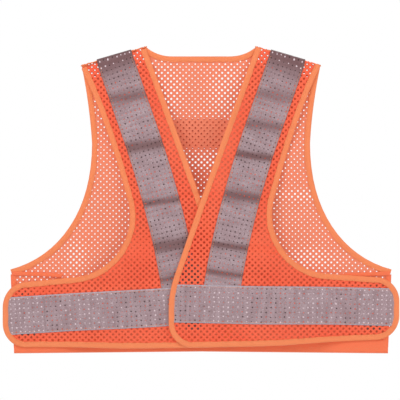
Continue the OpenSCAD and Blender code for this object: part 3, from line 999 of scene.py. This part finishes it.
def painted_dot_pattern(dark, bright, bright_until=0.0):
    """Which pinholes are capped with paint: in scattered runs, painted shade for one share and painted light
    for another, and painted light in most of those before bright_until.
    """
    def pattern(u, v):
        field = np.sin(u * 0.37 + v * 0.81) + np.sin(u * 1.13 - v * 0.43) + 1.3 * np.sin(u * 0.043 + 1.1)
        low, high = np.quantile(field, [bright, 1 - dark])
        held = np.where(field > high, 1.0, np.where(field < low, -1.0, 0.0))
        return np.where((u < bright_until) & (np.sin(2.1 * u + 1.7 * v) > -0.3), -1.0, held)
    return pattern


def belt_line(side):
    """Centre line of the belt on one front, from the centre front to the tab."""
    def at(x):
        out = x / TAB_HALF
        lower = 0 if side == LEFT else RIGHT_BELT_DROP + RIGHT_BELT_FALL * out
        return -BELT_TOP - TAPE_W / 2 - BELT_SLOPE * x - 1.1 * DROOP[side] * out - lower
    return at


def along_path(path, surface, out_from, outside):
    """Places points at u along and v across a path, out above the cloth."""
    line, at = resample(np.asarray(path, float), 4.0)
    normal = inward(line)

    def place(u, v, out):
        x = np.interp(u, at, line[:, 0]) + np.interp(u, at, normal[:, 0]) * v
        z = np.interp(u, at, line[:, 1]) + np.interp(u, at, normal[:, 1]) * v
        return np.stack([x, surface(x, z) + outside * (out_from + out), z], 1)
    return place, at[-1]


# A tape is paler towards its edges along a belt, and has painted shade towards the shoulder line
EDGE_PALE, EDGE_FROM, EDGE_RUN = 0.6, 1.0, 0.8
SHOULDER_DARK = ((0.5, 1.0, 62.0), (0.4, 1.25, 30.0))       # share, start, and distance to its end
# Painted shade in the creases: how strongly the crease mask darkens the tape, and at most how much
CREASE_MARK, DARKEST_MARK = 1.35, 0.9
TUCKED_IN = 0.6 * BINDING_W          # a tape ends this far inside the edge, under the binding


def tape_piece(name, side, path, width, surface, out_from, tape, press=None, outside=-1, top=0.0,
               within=None, painted_dot_shares=(0.1, 0.25)):
    """A perforated tape along a path, out_from above a surface. A tape with a top climbs over the shoulder
    and has that much painted shade there; one that is within an outline is kept inside it."""
    place, length = along_path(path, surface, out_from, outside)
    if top:
        place = over_the_shoulder(place, outside)
    points, quads, run, dark = perforated(place, length, width, tape.hole_spacing / MM,
                                          tape.hole_radius / MM, TAPE_THICK, painted_dot_pattern(*painted_dot_shares))
    if within is not None:
        points[:, [0, 2]] = pulled_inside(points[:, [0, 2]], within, TUCKED_IN)
    # The crease mask and the shoulder darkening become painted shade on the tape; along a belt the edge is
    # paler instead
    creased = press(points[:, 0], points[:, 2]) if press else np.zeros(len(points))
    if top:
        shade_and_pale_edge = top * sum(share * smooth(start - run[:, 0] / reach) for share, start, reach in SHOULDER_DARK)
    else:
        edge = np.abs(run[:, 1] - width / 2) - width / 2
        shade_and_pale_edge = -EDGE_PALE * smooth((edge + EDGE_FROM) / EDGE_RUN)
    marks = {"run": run + [0, 0, 30.0 * side],
             "press": np.stack([np.minimum(CREASE_MARK * creased, DARKEST_MARK), shade_and_pale_edge, dark], 1)}
    return dressed(name, side, outside, points, quads, "reflective_tape", marks)


def tape_pieces_of_front(side, tape):
    name, surface, level = SIDE_NAME[side], front_surface(side), belt_line(side)
    # The front shoulder tape: full painted shade towards the shoulder, painted shade in half its pinholes,
    # and painted light in most pinholes within 17 mm of the shoulder line
    piece = tape_piece(name + "_shoulder_reflector", side, shoulder_run(), SHOULDER_TAPE_W, surface,
                       SHOULDER_TAPE_OUT, tape, pressed(side), top=1.0, painted_dot_shares=(0.5, 0.0, 17.0))
    stand_for(piece, "tape", *sided(side, "shoulder_tape", "yoke_tape"))
    bend_at_front(piece, side)
    for part, reach, painted_dot_shares, nodes, bend in (
            ("belt_reflector", (-LAP, SPLIT_X), (0.22, 0.3), ("belt_tape", "side_tape"), bend_at_front),
            ("tab_reflector", (SPLIT_X, TAB_HALF - 3), (0.0, 0.8), ("tab_tape",), bend_at_tab)):
        path = [[x, level(x)] for x in np.linspace(*reach, 6)]
        piece = tape_piece(name + "_" + part, side, path, TAPE_W, surface, BELT_OUT, tape,
                           within=front_outline(side), painted_dot_shares=painted_dot_shares)
        stand_for(piece, "tape", *sided(side, *nodes))
        bend(piece, side)


def back_belt_path(half):
    level = BELT_HIGH[2] - TAPE_W / 2
    return [[x, level - BELT_SLOPE * abs(x)] for x in np.linspace(-half, half, 15)]


def back_tapes(tape):
    for side in (LEFT, RIGHT):
        # The back shoulder tapes have less painted shade towards the shoulder than those of the fronts
        piece = tape_piece(SIDE_NAME[side] + "_back_shoulder_reflector", side, shoulder_run(),
                           SHOULDER_TAPE_W, back_surface_of(side), SHOULDER_TAPE_OUT, tape,
                           outside=1, top=0.3)
        stand_for(piece, "tape", *sided(side, "back_shoulder_tape"))
        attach(piece, "back")
    piece = tape_piece("back_belt_reflector", LEFT, back_belt_path(BELT_HIGH[0]), TAPE_W, back_surface,
                       BELT_OUT, tape, outside=1)
    stand_for(piece, "tape", "back_belt_tape")
    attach(piece, "back")


# ---------------------------------------------------------------- shoulders and fasteners
ROLL_HALF_HEIGHT, ROLL_BACK_IN = 1.0, 0.3      # the seam is flat, and hides between the two layers
ROLL_SIDES = 20


def shoulder_roll(side):
    """The rolled seam along the shoulder that joins a front to the back."""
    line, at = resample(np.array([NECK - [1.5, -0.4], TIP + [1.0, -0.3]]), 2.2)
    reach = (BACK_Y - FOLD_Y) / 2 - ROLL_BACK_IN
    rows, runs = [], []
    for turn in np.linspace(0, math.tau, ROLL_SIDES, endpoint=False):
        c, s = math.cos(turn), math.sin(turn)
        pucker = 0.18 * np.sin(at / 1.9 + turn) + 0.12 * np.sin(at / 5.3)
        y = np.full_like(at, BETWEEN_LAYERS + reach * math.copysign(abs(c) ** 0.7, c))
        z = line[:, 1] + (ROLL_HALF_HEIGHT + pucker) * math.copysign(abs(s) ** 0.7, s)
        rows.append(np.stack([line[:, 0], y, z], 1))
        runs.append(np.stack([at, np.full_like(at, turn * 2.5), np.zeros_like(at)], 1))
    points, runs = np.stack(rows, 1), np.stack(runs, 1)
    k = np.arange(ROLL_SIDES // 2 - 1)
    cap = np.stack([ROLL_SIDES - 1 - k, ROLL_SIDES - 2 - k, k + 1, k], 1)
    quads = swept(points) + [cap, cap[:, ::-1] + ROLL_SIDES * (len(at) - 1)]
    piece = dressed(SIDE_NAME[side] + "_shoulder_roll", side, 1, points.reshape(-1, 3), quads,
                    "binding_tape", {"run": runs.reshape(-1, 3)})
    stand_for(piece, "binding", *sided(side, "shoulder_seam"))
    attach(piece, "back")


SELVEDGE, TUFT_STEP = 2.4, 1.0       # rim of a patch, and the distance between its tufts
PATCH_THICK, LOOP_OUT = 1.2, 0.55    # thickness of a patch; the centre loop lies this much further out


def patch_piece(name, node, surface, inner, outer, hooks):
    """A hook or loop patch: a rounded rectangle with a selvedge and a field of small tufts.
    surface gives the depth of the cloth; inner and outer are the heights of its base and face."""
    low, high = node_box(node)
    nx, nz = int((high[0] - low[0]) / TUFT_STEP), int((high[2] - low[2]) / TUFT_STEP)
    x, z = np.meshgrid(np.linspace(low[0] + 0.3, high[0] - 0.3, nx + 1),
                       np.linspace(low[2] + 0.3, high[2] - 0.3, nz + 1), indexing="ij")
    rim = np.minimum.reduce([x - x.min(), x.max() - x, z - z.min(), z.max() - z])
    i, k = np.meshgrid(np.arange(nx + 1), np.arange(nz + 1), indexing="ij")
    tuft = (0.22 if hooks else 0.3) * ((i + k) % 2) * (0.6 + 0.4 * np.sin(i * 2.3 + k * 1.7))
    height = np.where(rim < SELVEDGE, 0.55 * (outer - inner), 0.8 * (outer - inner) + tuft)
    height = np.where(rim < 0.1, 0.1 * (outer - inner), height)
    y = surface(x, z) + np.sign(outer) * (abs(inner) + np.abs(height))
    rows = np.stack([x, y, z], 2)
    points = rows.reshape(-1, 3)
    return dressed(name, LEFT, outer, points, swept(rows, closed_profile=False), "hook_and_loop",
                   {"run": cloth_run(points, 0.0)})


def fasteners():
    """Hook and loop on the tabs, on the sides of the back, and where the fronts overlap."""
    rows = [("centre_hook", "front_hook_patch", front_surface, LEFT, 1, True, "left_front"),
            ("centre_loop", "front_loop_patch", front_surface, RIGHT, -1, False, "right_front")]
    for side in (LEFT, RIGHT):
        hook, loop, tab = sided(side, "side_hook", "side_loop", "tab")
        rows.append((hook, hook + "_patch", front_surface, side, 1, True, tab))
        rows.append((loop, loop + "_patch", back_surface_of, side, -1, False, "back"))
    for piece_name, node, surface_of, side, facing, hooks, body in rows:
        surface = surface_of(side)
        start = CLOTH_FACE + (LOOP_OUT if piece_name == "centre_loop" else 0)
        piece = patch_piece(piece_name, node, lambda x, z: surface(side * x, z), facing * start,
                            facing * (start + PATCH_THICK), hooks)
        stand_for(piece, "hook_loop", node)
        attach(piece, body)


# ---------------------------------------------------------------- stitching
BINDING_SEAM = 0.80 * BINDING_W      # the stitches lie in the valley of the binding
SEAM_OUT = CLOTH_T / 2 + 0.62        # and this far out from the middle of the cloth
TAPE_SEAM_IN = 2.6                   # on a tape they lie this far inside each edge


def rows_along(paths, surface, outside, thread):
    """Stitch rows in the valley of bindings, on both faces."""
    pitch, length = thread.pitch / MM, thread.length / MM
    return [seam_line(path, surface, face * outside, BINDING_SEAM, SEAM_OUT, pitch, length)
            for path in paths for face in (1, -1)]


def rows_on_tape(path, width, surface, outside, out_from, thread):
    """Stitch rows just inside both edges of a tape."""
    place, length = along_path(path, surface, out_from, outside)
    spots = np.arange(CLIMB + 2, length - 3.0, thread.pitch / MM)
    found = []
    for v in (TAPE_SEAM_IN - width / 2, width / 2 - TAPE_SEAM_IN):
        ends = [place(spots + shift, np.full_like(spots, v), TAPE_THICK + 0.12)
                for shift in (-thread.length / MM / 2, thread.length / MM / 2)]
        found.append(np.stack(ends, 1))
    return found


def stitch_piece(name, side, rows, thread):
    points, quads = stitches(np.concatenate(rows), thread.radius / MM)
    return dressed(name, side, -1, points, quads, "sewing_thread", {"run": points * [side, 1, 1]})


def front_stitching(side, thread):
    """The stitches of one front in two pieces, one for the main piece and one for the tab."""
    surface, paths, level = front_surface(side), front_paths(side), belt_line(side)
    shoulder = rows_on_tape(shoulder_run()[:-1], SHOULDER_TAPE_W, surface, -1, SHOULDER_TAPE_OUT, thread)
    for part, edges, rows, reach, count, bend in (
            ("front", ("front_edge", "armhole_edge"), shoulder, (12 - LAP, SPLIT_X), 6, bend_at_front),
            ("tab", ("tab_edge",), [], (SPLIT_X, TAB_HALF - 12), 4, bend_at_tab)):
        belt = [[x, level(x)] for x in np.linspace(*reach, count)]
        rows = rows_along([paths[edge] for edge in edges], surface, -1, thread) + rows
        rows += rows_on_tape(belt, TAPE_W, surface, -1, BELT_OUT, thread)
        piece = stitch_piece(SIDE_NAME[side] + "_" + part + "_stitches", side, rows, thread)
        bend(piece, side)


def back_stitching(thread):
    rows = rows_along(back_cross_paths().values(), back_surface, 1, thread)
    rows += rows_on_tape(back_belt_path(BELT_HIGH[0] - 2), TAPE_W, back_surface, 1, BELT_OUT, thread)
    for side in (LEFT, RIGHT):
        surface = back_surface_of(side)
        one_side = rows_along(back_paths().values(), surface, 1, thread)
        one_side += rows_on_tape(shoulder_run()[:-1], SHOULDER_TAPE_W, surface, 1, SHOULDER_TAPE_OUT, thread)
        rows += [r * [side, 1, 1] for r in one_side]
    piece = stitch_piece("back_stitches", LEFT, rows, thread)
    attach(piece, "back")


# ---------------------------------------------------------------- settings
def length_prop(name, description, default):
    return bpy.props.FloatProperty(name=name, description=description, default=default, unit="LENGTH",
                                   precision=5)


def colour_prop(name, description, default):
    return bpy.props.FloatVectorProperty(name=name, description=description, default=default, size=3,
                                         subtype="COLOR", min=0.0, max=1.0)


class VestClothSettings(bpy.types.PropertyGroup):
    """Sizes of the knitted mesh"""
    hole_across: length_prop("Hole spacing across", "Distance between holes in one row", 0.0097)
    hole_rise: length_prop("Row spacing", "Distance between rows of holes", 0.0046)
    front_hole: length_prop("Front hole radius", "Radius of the holes in the fronts", 0.00185)
    back_hole: length_prop("Back hole radius", "Radius of the holes in the back", 0.0012)


class VestTapeSettings(bpy.types.PropertyGroup):
    """Sizes of the reflective tape's pinholes"""
    hole_spacing: length_prop("Pinhole spacing", "Side of one square of the pinhole grid", 0.0075)
    hole_radius: length_prop("Pinhole radius", "Radius of one pinhole", 0.00095)


class VestThreadSettings(bpy.types.PropertyGroup):
    """Sizes of the stitches"""
    pitch: length_prop("Stitch pitch", "Distance between the starts of two stitches", 0.0035)
    length: length_prop("Stitch length", "Visible length of one stitch", 0.0025)
    radius: length_prop("Thread radius", "Radius of the sewing thread", 0.00028)


class VestColours(bpy.types.PropertyGroup):
    """Colours of the vest's materials"""
    mesh: colour_prop("Mesh", "Fluorescent orange of the fronts", (0.93, 0.10, 0.035))
    # Paler than the fronts' orange: painted light, standing in for light coming through the single layer
    mesh_back: colour_prop("Mesh, back", "Paler orange of the single back layer", (0.87, 0.235, 0.125))
    # The mesh's orange darkened: painted shade on the layer behind the back
    mesh_patch: colour_prop("Mesh, neck patch", "Deep red of the layer under the neck", (0.58, 0.09, 0.05))
    mesh_worn: colour_prop("Mesh, faded", "Where the mesh has faded a little", (0.93, 0.19, 0.08))
    binding: colour_prop("Binding", "Lighter orange of the edge tape", (0.97, 0.25, 0.085))
    hem: colour_prop("Hem", "Deep orange of the turned hem", (1.0, 0.185, 0.065))
    tape: colour_prop("Tape", "Mauve grey of the reflective tape", (0.46, 0.325, 0.355))
    tape_light: colour_prop("Tape, bright", "Where the tape catches the light", (0.53, 0.42, 0.45))
    # Painted shade where the tape is creased, wrinkled or near the shoulder, and the colour of its darker
    # specks
    tape_shade_and_specks: colour_prop("Tape, dark", "Where the tape is creased or turned away", (0.15, 0.06, 0.062))
    tape_edge: colour_prop("Tape, edge", "Pale selvedge of the belt tapes", (0.56, 0.56, 0.66))
    # Painted shade in some capped pinholes, and painted light in others
    painted_shade: colour_prop("Pinhole backing", "Dark backing in some of the pinholes", (0.05, 0.015, 0.018))
    painted_dots: colour_prop("Pinhole film", "Bright film in some of the pinholes", (0.74, 0.60, 0.64))
    fastener: colour_prop("Hook and loop", "Colour of the fasteners", (0.16, 0.06, 0.045))
    fastener_worn: colour_prop("Hook and loop, worn", "Dust and lint on the fasteners", (0.32, 0.15, 0.12))
    thread: colour_prop("Thread", "Colour of the stitches", (0.95, 0.34, 0.14))


class VestStageSettings(bpy.types.PropertyGroup):
    """The floor, the light and the camera"""
    floor_drop: length_prop("Floor", "How far the floor is below the neck points", 0.9)
    distance: length_prop("Camera distance", "From the camera to the back of the vest", 3.556)
    frame_width: length_prop("Frame width", "Width seen at the back of the vest", 0.64)
    aim_across: length_prop("Aim across", "Side distance of the middle of the view", -0.0016)
    aim_level: length_prop("Aim level", "Height of the middle of the view", -0.2448)
    ambient: bpy.props.FloatProperty(
        name="Ambient light", description="Strength of the even light all round",
        default=0.5, min=0.0, max=2.0)
    key_power: bpy.props.FloatProperty(
        name="Key light", description="Power of the large front light", default=24.0, min=0.0, unit="POWER")


# ---------------------------------------------------------------- stage
def studio_floor(stage):
    """A pale floor that brightens into the white backdrop towards its rim."""
    half, rows = 3500.0, 40
    at = np.linspace(-1, 1, rows + 1)
    x, y = np.meshgrid(at, at)
    shrink = 1 / np.maximum(1, np.hypot(x, y) / np.maximum(np.maximum(abs(x), abs(y)), 1e-9))
    points = np.stack([half * x * shrink, half * y * shrink, np.full_like(x, -stage.floor_drop / MM)], 2)
    ground = bpy.data.materials.new("studio_floor")
    ground.use_nodes = True
    tree = ground.node_tree
    shader = tree.nodes["Principled BSDF"]
    place = add(tree, "ShaderNodeTexCoord").outputs["Object"]
    away = add(tree, "ShaderNodeVectorMath", {"operation": "LENGTH"}, {0: place}).outputs["Value"]
    rim = add(tree, "ShaderNodeMapRange", inputs={"Value": away, "From Min": 0.5, "From Max": 2.4})
    rim = rim.outputs["Result"]
    grain = add(tree, "ShaderNodeTexNoise", inputs={"Vector": place, "Scale": 3.0}).outputs["Fac"]
    shade = tint(tree, grain, (0.80, 0.80, 0.79, 1), (0.86, 0.86, 0.85, 1))
    tree.links.new(tint(tree, rim, shade, (0, 0, 0, 1)), shader.inputs["Base Color"])
    tree.links.new(tint(tree, rim, (0, 0, 0, 1), (1, 1, 1, 1)), shader.inputs["Emission Color"])
    shader.inputs["Emission Strength"].default_value = 1.0
    shader.inputs["Roughness"].default_value = 0.9
    shader.inputs["Specular IOR Level"].default_value = 0.1
    new_piece("floor", points.reshape(-1, 3), swept(points, closed_profile=False), ground)


def studio_light(stage):
    """White all round, less bright as light than as a backdrop, and three soft lamps."""
    scene = bpy.context.scene
    scene.view_settings.view_transform = "Standard"
    scene.view_settings.look = "None"
    scene.world = bpy.data.worlds.new("studio")
    scene.world.use_nodes = True
    tree = scene.world.node_tree
    background = tree.nodes["Background"]
    background.inputs["Color"].default_value = (1, 1, 1, 1)
    seen = add(tree, "ShaderNodeLightPath").outputs["Is Camera Ray"]
    lit = add(tree, "ShaderNodeMapRange", inputs={"Value": seen, "To Min": stage.ambient, "To Max": 1.0})
    tree.links.new(lit.outputs["Result"], background.inputs["Strength"])
    aim = Vector((0, 0, stage.aim_level))
    for name, place, size, share in (("key", (-0.9, -1.7, 1.1), 1.3, 1.0),
                                     ("fill", (1.5, -1.3, 0.1), 1.6, 0.4),
                                     ("rim", (0.5, 1.7, 1.2), 1.4, 0.9)):
        lamp = bpy.data.lights.new(name, "AREA")
        lamp.energy, lamp.size = stage.key_power * share, size
        holder = bpy.data.objects.new(name, lamp)
        holder.location = place
        holder.rotation_euler = (aim - holder.location).to_track_quat("-Z", "Y").to_euler()
        scene.collection.objects.link(holder)


def studio_camera(stage):
    camera = bpy.data.cameras.new("camera")
    camera.sensor_width = 36.0
    camera.lens = camera.sensor_width * stage.distance / stage.frame_width
    holder = bpy.data.objects.new("camera", camera)
    holder.location = (stage.aim_across, -stage.distance, stage.aim_level)
    holder.rotation_euler = (math.pi / 2, 0, 0)
    bpy.context.scene.collection.objects.link(holder)
    bpy.context.scene.camera = holder


# ---------------------------------------------------------------- operators
class VEST_OT_stage(bpy.types.Operator):
    """Make the floor, the light and the camera"""
    bl_idname = "vest.stage"
    bl_label = "Studio"

    def execute(self, context):
        stage = context.scene.vest_stage
        studio_floor(stage)
        studio_light(stage)
        studio_camera(stage)
        return {"FINISHED"}


class VEST_OT_shoulder_rolls(bpy.types.Operator):
    """Make the rolled seams along both shoulders"""
    bl_idname = "vest.shoulder_rolls"
    bl_label = "Shoulder seams"

    def execute(self, context):
        for side in (LEFT, RIGHT):
            shoulder_roll(side)
        return {"FINISHED"}


class VEST_OT_bindings(bpy.types.Operator):
    """Bind the edges of the fronts and of the back"""
    bl_idname = "vest.bindings"
    bl_label = "Edge bindings"

    def execute(self, context):
        for side in (LEFT, RIGHT):
            front_bindings(side)
        back_bindings()
        return {"FINISHED"}


class VEST_OT_cloth(bpy.types.Operator):
    """Knit the mesh of the back, the fronts and their tabs"""
    bl_idname = "vest.cloth"
    bl_label = "Mesh cloth"

    def execute(self, context):
        cloth = context.scene.vest_cloth
        back_cloth(cloth)
        neck_patch(cloth)
        for side in (LEFT, RIGHT):
            front_cloth(side, cloth)
        return {"FINISHED"}


class VEST_OT_tapes(bpy.types.Operator):
    """Lay the perforated reflective tapes"""
    bl_idname = "vest.tapes"
    bl_label = "Reflective tapes"

    def execute(self, context):
        tape = context.scene.vest_tape
        for side in (LEFT, RIGHT):
            tape_pieces_of_front(side, tape)
        back_tapes(tape)
        return {"FINISHED"}


class VEST_OT_fasteners(bpy.types.Operator):
    """Make the hook and loop patches"""
    bl_idname = "vest.fasteners"
    bl_label = "Hook and loop"

    def execute(self, context):
        fasteners()
        return {"FINISHED"}


class VEST_OT_stitching(bpy.types.Operator):
    """Sew the bindings and the tapes"""
    bl_idname = "vest.stitching"
    bl_label = "Stitching"

    def execute(self, context):
        thread = context.scene.vest_thread
        for side in (LEFT, RIGHT):
            front_stitching(side, thread)
        back_stitching(thread)
        return {"FINISHED"}


OPERATORS = (VEST_OT_stage, VEST_OT_shoulder_rolls, VEST_OT_bindings, VEST_OT_cloth, VEST_OT_tapes,
             VEST_OT_fasteners, VEST_OT_stitching)
SETTINGS = {"vest_cloth": VestClothSettings, "vest_tape": VestTapeSettings,
            "vest_thread": VestThreadSettings, "vest_colours": VestColours, "vest_stage": VestStageSettings}


class VEST_PT_panel(bpy.types.Panel):
    """Lists the steps that build the vest, and their settings"""
    bl_idname = "VEST_PT_panel"
    bl_label = "Safety Vest"
    bl_space_type = "VIEW_3D"
    bl_region_type = "UI"
    bl_category = "Vest"

    def draw(self, context):
        for operator in OPERATORS:
            self.layout.operator(operator.bl_idname)
        for key, kind in SETTINGS.items():
            box = self.layout.box()
            for prop in kind.__annotations__:
                box.prop(getattr(context.scene, key), prop)


def register():
    for kind in (*SETTINGS.values(), *OPERATORS, VEST_PT_panel):
        bpy.utils.register_class(kind)
    for key, kind in SETTINGS.items():
        setattr(bpy.types.Scene, key, bpy.props.PointerProperty(type=kind))


def unregister():
    for key in SETTINGS:
        delattr(bpy.types.Scene, key)
    for kind in reversed((*SETTINGS.values(), *OPERATORS, VEST_PT_panel)):
        bpy.utils.unregister_class(kind)


def main():
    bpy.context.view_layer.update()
    register()
    bpy.ops.vest.stage()
    bpy.ops.vest.shoulder_rolls()
    bpy.ops.vest.bindings()
    bpy.ops.vest.cloth()
    bpy.ops.vest.tapes()
    bpy.ops.vest.fasteners()
    bpy.ops.vest.stitching()


if __name__ == "__main__":
    main()
